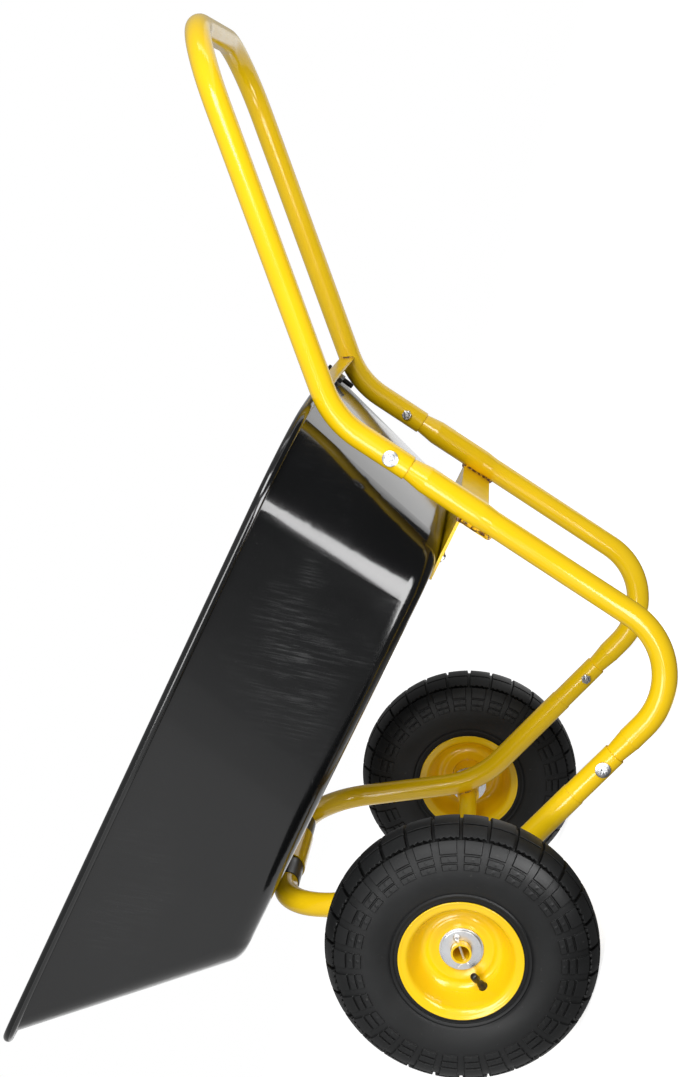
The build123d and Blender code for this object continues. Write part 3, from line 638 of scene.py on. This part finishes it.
# ---------------------------------------------------------------- wheel pressings
# A rim half's section from the hub to the flange's curl, then back along its hidden side, as
# (distance out from the wheel's middle, radius) in mm.
DISH = [
    (2.5, 20.2), (2.5, 21.8), (3.2, 25.0), (4.2, 28.5), (4.4, 31.0), (3.4, 33.6), (3.0, 36.0),
    (4.0, 38.6), (7.0, 41.6), (12.0, 44.6), (18.5, 47.3), (24.5, 49.3), (27.6, 50.6), (29.4, 52.2),
    (30.2, 54.2), (30.8, 56.6), (31.6, 58.4), (31.8, 59.4), (31.3, 59.8), (30.2, 59.6), (29.6, 58.4),
]
DISH_BACK = [
    (29.3, 53.0), (27.0, 51.3), (18.0, 50.6), (6.0, 45.0), (0.2, 39.0), (0.2, 34.0), (1.0, 30.0), (0.5, 20.2),
]


def dish(side, half, way):
    """One pressed rim half, with smooth curves between the stations."""
    front = smooth_line(DISH, 5)
    section = [(w * way, r) for w, r in front + DISH_BACK]
    centre = joint_at[f"{side}_wheel"]
    out = Vector((0, SIDES[side], 0))
    build = Builder()
    build.rings(turned_rings(section, centre, out, 144), closed_rings=True)
    paint = MATERIALS["yellow_paint"]
    piece = build.piece(f"{side}_{half}_rim_pressing", paint, f"{side}_wheel", "yellow_paint", 50)
    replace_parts(piece, f"{side}_{half}_rim")


# The valve's stem from its foot in the rim, and its cap from its open end: (height, radius) in mm.
STEM = [
    (-1.0, 5.6), (0.4, 5.5), (1.6, 5.1), (2.8, 4.3), (5.0, 3.9), (7.8, 3.6), (8.6, 3.0), (9.4, 2.7),
    (15.9, 2.6),
]
CAP = [(0.0, 2.9), (0.1, 3.6), (0.8, 3.85), (6.2, 3.75), (7.6, 3.6), (8.8, 3.0), (9.6, 1.9), (9.9, 0.6)]
STEM_HALF = 8.0                # from the stem's middle to its foot
CAP_HALF = 5.6                 # from the cap's middle to its open end
CAP_RIBS = 12


def valve(side):
    """The rubber valve stem in the dish, and its ribbed, round-ended cap."""
    stem_at, cap_at = middle(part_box(f"{side}_valve_stem")), middle(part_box(f"{side}_valve_cap"))
    along = (cap_at - stem_at).normalized()
    build = Builder()
    build.rings(turned_rings(STEM, stem_at - along * STEM_HALF * MM, along, 32))
    piece = build.piece(f"{side}_valve_body", MATERIALS["black_rubber"], f"{side}_wheel", "black_rubber")
    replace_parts(piece, f"{side}_valve_stem")

    def ribs(angle, radius):
        return radius * (1 - 0.05 * (0.5 + 0.5 * cos(CAP_RIBS * angle)) * (radius > 3.5))
    build = Builder()
    build.rings(turned_rings(CAP, cap_at - along * CAP_HALF * MM, along, 72, ribs))
    piece = build.piece(f"{side}_valve_dust_cap", MATERIALS["black_rubber"], f"{side}_wheel", "black_rubber")
    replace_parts(piece, f"{side}_valve_cap")


for side in SIDES:
    dish(side, "outer", 1)
    dish(side, "inner", -1)
    valve(side)


# ---------------------------------------------------------------- fasteners
THREAD_R, THREAD_ROOT, THREAD_PITCH = 3.0, 2.55, 1.0
JOINT_FLAT, PLATE_FLAT, NUT_FLAT = 4.75, 4.3, 4.95       # half across the flats
JOINT_HEAD, PLATE_HEAD, PLATE_HEAD_CAD = 3.6, 3.5, 3.6   # the heads' heights
NUT_HEIGHT, NUT_HEIGHT_CAD = 5.4, 5.5
CORNER = 1.155                 # a hexagon's corner, to half across its flats
WASHER = [(0.0, 3.1), (0.0, 7.5), (0.2, 7.8), (1.0, 7.8), (1.2, 7.5), (1.2, 3.1)]
WASHER_THICK = 1.2
RIM_RISE = radians(12)         # how steeply the rim bracket's tab rises to the back


def hexed(flat):
    """Bends a ring to a hexagon's outline where the ring is wide enough to reach it."""
    def shape(angle, radius):
        reach = flat / cos((angle + pi / 6) % (pi / 3) - pi / 6)
        return min(radius, reach)
    return shape


def thread(length, end_chamfer=0.7):
    """Stations of a threaded end, from its root outward."""
    stations = [(0.0, THREAD_ROOT)]
    h = 0.0
    while h + THREAD_PITCH < length - end_chamfer:
        stations.append((h + 0.35 * THREAD_PITCH, THREAD_R))
        stations.append((h + 0.6 * THREAD_PITCH, THREAD_R))
        stations.append((h + THREAD_PITCH, THREAD_ROOT))
        h += THREAD_PITCH
    end = [(length - end_chamfer, THREAD_R - 0.1), (length, THREAD_ROOT - 0.3), (length + 0.01, 1.2)]
    return stations + end


def bolt_head(build, seat, out, flat, height, turn):
    """A domed hexagon head with a flange and a cross recess, standing out from its seat."""
    hexagon = hexed(flat)
    corner = flat * CORNER
    outer = [(0.0, corner * 0.98), (0.25, corner * 1.0), (height - 0.9, corner), (height - 0.35, flat * 1.02)]
    rings = turned_rings(outer, seat, out, 96, hexagon, turn)
    side, other = basis(out)
    for k in range(1, 12):
        radius = flat * 0.96 * (1 - k / 12) + 0.12 * (k / 12)
        ring = []
        for i in range(96):
            angle = 2 * pi * i / 96
            dome = height - 0.35 + 0.35 * (1 - (radius / flat) ** 2)
            x, y = radius * cos(angle), radius * sin(angle)
            arm = min(abs(x), abs(y))
            depth = 1.5 * max(0.0, 1 - (arm / 0.75) ** 4) * max(0.0, 1 - (radius / 3.0) ** 6)
            way = side * cos(angle + turn) + other * sin(angle + turn)
            ring.append(seat + out * (dome - depth) * MM + way * radius * MM)
        rings.append(ring)
    build.rings(rings)


def shank(build, seat, along, length, threaded):
    """A bolt's shank from under its head to its end, threaded near the end."""
    plain = [(0.0, 2.0), (0.0, THREAD_R), (length - threaded, THREAD_R)]
    end = [(length - threaded + h, r) for h, r in thread(threaded)]
    build.rings(turned_rings(plain + end, seat, along, 28))


def hex_nut(build, seat, along, flat, height, turn):
    """A chamfered nut round a bolt of the thread's radius."""
    corner = flat * CORNER
    stations = [
        (0.0, THREAD_R + 0.02), (0.0, flat * 0.97), (0.45, corner), (height - 0.45, corner),
        (height, flat * 0.97), (height, THREAD_R + 0.5), (height - 0.5, THREAD_R + 0.02),
    ]
    build.rings(turned_rings(stations, seat, along, 72, hexed(flat), turn), closed_rings=True)


def joint_fasteners():
    """Bolts across the telescoped tubes: heads and washers outside, nuts and bolt ends inside."""
    bolts, nuts, washers = Builder(), Builder(), Builder()
    for index, (low, high) in enumerate(solids("joint_washers")):
        centre = (low + high) / 2
        out = Vector((0, 1 if centre.y > 0 else -1, 0))
        seat = Vector((centre.x, max(abs(low.y), abs(high.y)) * out.y, centre.z))
        under = seat - out * WASHER_THICK * MM
        washers.rings(turned_rings(WASHER, under, out, 64), closed_rings=True)
        bolt_box = min(solids("joint_bolts"), key=lambda box: (middle(box) - centre).length)
        nut_box = min(solids("joint_nuts"), key=lambda box: (middle(box) - centre).length)
        end = min(abs(bolt_box[0].y), abs(bolt_box[1].y))
        bolt_head(bolts, seat, out, JOINT_FLAT, JOINT_HEAD, 0.5 + index * 1.3)
        shank(bolts, seat, -out, (abs(seat.y) - end) / MM, 14.0)
        nut_seat = Vector((centre.x, max(abs(nut_box[0].y), abs(nut_box[1].y)) * out.y, centre.z))
        hex_nut(nuts, nut_seat, -out, NUT_FLAT, NUT_HEIGHT, 0.2 + index * 0.9)
    zinc = MATERIALS["zinc"]
    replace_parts(bolts.piece("joint_bolts_cross_head", zinc, "cart_frame", "zinc"), "joint_bolts")
    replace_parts(nuts.piece("joint_nuts_chamfered", zinc, "cart_frame", "zinc"), "joint_nuts")
    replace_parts(washers.piece("joint_washers_rounded", zinc, "cart_frame", "zinc"), "joint_washers")


def plate_fasteners(bolt_node, nut_node, along, head_material, slot, name):
    """Bolts down through the sheet and its bracket, with their nuts below."""
    bolts, nuts = Builder(), Builder()
    for index, nut_box in enumerate(solids(nut_node)):
        centre = middle(nut_box)
        box = min(solids(bolt_node), key=lambda box: (middle(box) - centre).length)
        reach = bolt_reach(box, along)
        top, end = middle(box) - along * reach / 2, middle(box) + along * reach / 2
        seat = top + along * PLATE_HEAD_CAD * MM
        bolt_head(bolts, seat, -along, PLATE_FLAT, PLATE_HEAD, 0.3 + index)
        shank(bolts, seat, along, (end - seat).length / MM, 12.0)
        nut_seat = centre - along * NUT_HEIGHT_CAD / 2 * MM
        hex_nut(nuts, nut_seat, along, NUT_FLAT, NUT_HEIGHT, index * 0.7)
    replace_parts(bolts.piece(f"{name}_bolts_detailed", head_material, "cart_frame", slot), bolt_node)
    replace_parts(nuts.piece(f"{name}_nuts_chamfered", MATERIALS["zinc"], "cart_frame", "zinc"), nut_node)


def bolt_reach(box, along):
    """A tilted bolt's length, from its box's height: the head's rim reaches past its end face."""
    size = box[1] - box[0]
    head = 5.0 * MM
    lean = abs(along.x)
    return (size.z - head * lean - 3.0 * MM * lean) / abs(along.z)


joint_fasteners()
floor_down = level(0, 0, -1)
rim_down = level(-sin(RIM_RISE), 0, -cos(RIM_RISE))
zinc = MATERIALS["zinc"]
plate_fasteners("cross_bracket_bolts", "cross_bracket_nuts", floor_down, zinc, "zinc", "cross_bracket")
plate_fasteners("saddle_bolts", "saddle_nuts", floor_down, zinc, "zinc", "saddle")
plate_fasteners("rim_bolts", "rim_nuts", rim_down, MATERIALS["black_zinc"], "black_zinc", "rim")


# ---------------------------------------------------------------- weld beads
def weld(build, path, radius, closed=False, ripple=1.1):
    """A rippled bead along a path of points, a little uneven."""
    rings = []
    count = len(path)
    travelled = 0.0
    for i, point in enumerate(path):
        before = path[i - 1] if i or closed else point
        after = path[(i + 1) % count] if i < count - 1 or closed else point
        along = (after - before).normalized()
        travelled += (point - before).length / MM if i else 0.0
        swell = 1 + 0.13 * sin(2 * pi * travelled / ripple) + 0.22 * noise.noise(point * 260)
        if not closed:
            swell *= min(1.0, 0.45 + 0.28 * min(i, count - 1 - i))
        side, other = basis(along)
        ring = [point + (side * cos(a) + other * sin(a)) * radius * swell * MM
                for a in (2 * pi * k / 10 for k in range(10))]
        rings.append(ring)
    build.rings(rings, closed_rings=closed)


def straight(start, end, step=0.28):
    count = max(4, int((end - start).length / MM / step))
    return [start.lerp(end, i / count) for i in range(count + 1)]


def surface(node):
    """The CAD surface of a node, ready for the nearest point on it to be asked for."""
    mesh = nodes[node].data
    place = nodes[node].matrix_world
    corners = [place @ v.co for v in mesh.vertices]
    return BVHTree.FromPolygons(corners, [tuple(face.vertices) for face in mesh.polygons])


def seam(path, first, second):
    """A rough path pulled onto the line where two surfaces meet."""
    drawn = []
    for point in path:
        for _ in range(14):
            point = (first.find_nearest(point)[0] + second.find_nearest(point)[0]) / 2
        drawn.append(point)
    return drawn


def smoothed(path, closed):
    """The same path with its small kinks averaged out."""
    count = len(path)
    out = []
    for i in range(count):
        if not closed and i in (0, count - 1):
            out.append(path[i])
            continue
        out.append((path[i - 1] + path[i] * 2 + path[(i + 1) % count]) / 4)
    return out


# Rough lines of the beads, as on_level takes them; each is pulled onto the seam of its two parts.
TUBE_Y = 158.0                         # the side tubes' middle
AXLE_OUT = 10.0                        # the axle's radius, where its bead's ring begins
AXLE_RING = (7.5, 9.5)                 # the ring's half sizes, up and down the tube and across it
TUBE_WAY = (0.697, 0.717)              # the frame tube's slope at the axle, as a direction
LEG_X, LEG_LEAN, LEG_Z = 366.0, 0.1377, -77.8
EYE_Z = 286.4
CROSS_TOP, CROSS_LOW = -108.0, -140.5  # the cross bracket's upper and lower edge
CROSS_SEAMS = [
    ((151.5, CROSS_TOP), (151.5, CROSS_LOW)), ((163.0, CROSS_TOP), (163.0, CROSS_LOW)),
    ((150.0, CROSS_TOP), (167.0, CROSS_TOP)), ((150.0, CROSS_LOW), (167.0, CROSS_LOW)),
]
RIM_SEAM_Y = 147.0
RIM_SEAM = [(418.0, 345.9), (411.5, 357.9)]


def weld_pieces():
    """The beads that join the axle, the cross bracket and the rim bracket to the tubes."""
    frame_tube, axle_tube, handle = surface("front_frame"), surface("axle"), surface("handle_tube")
    cross, rim = surface("cross_bracket"), surface("rim_bracket")
    beads = {name: Builder() for name in ("axle", "cross_bracket", "rim_bracket")}
    for side, way in SIDES.items():
        leg = surface(f"{side}_leg")
        loop = []
        for k in range(150):
            angle = 2 * pi * k / 150
            along, across = AXLE_RING[0] * sin(angle), AXLE_RING[1] * cos(angle)
            x = TUBE_WAY[1] * AXLE_OUT - TUBE_WAY[0] * along
            z = TUBE_WAY[0] * AXLE_OUT + TUBE_WAY[1] * along
            loop.append(on_level(x, way * TUBE_Y + across, z))
        loop = smoothed(smoothed(seam(loop, frame_tube, axle_tube), True), True)
        weld(beads["axle"], loop, 1.9, closed=True)
        for line in CROSS_SEAMS:
            ends = [on_level(LEG_X + LEG_LEAN * (z - LEG_Z), way * y, z + EYE_Z) for y, z in line]
            path = smoothed(seam(straight(*ends), cross, leg), False)
            weld(beads["cross_bracket"], path, 2.9)
        ends = [on_level(x, way * RIM_SEAM_Y, z) for x, z in RIM_SEAM]
        weld(beads["rim_bracket"], smoothed(seam(straight(*ends), rim, handle), False), 1.7)
    for name, build in beads.items():
        build.piece(f"{name}_welds", painted_weld, "cart_frame", "yellow_paint")


weld_pieces()
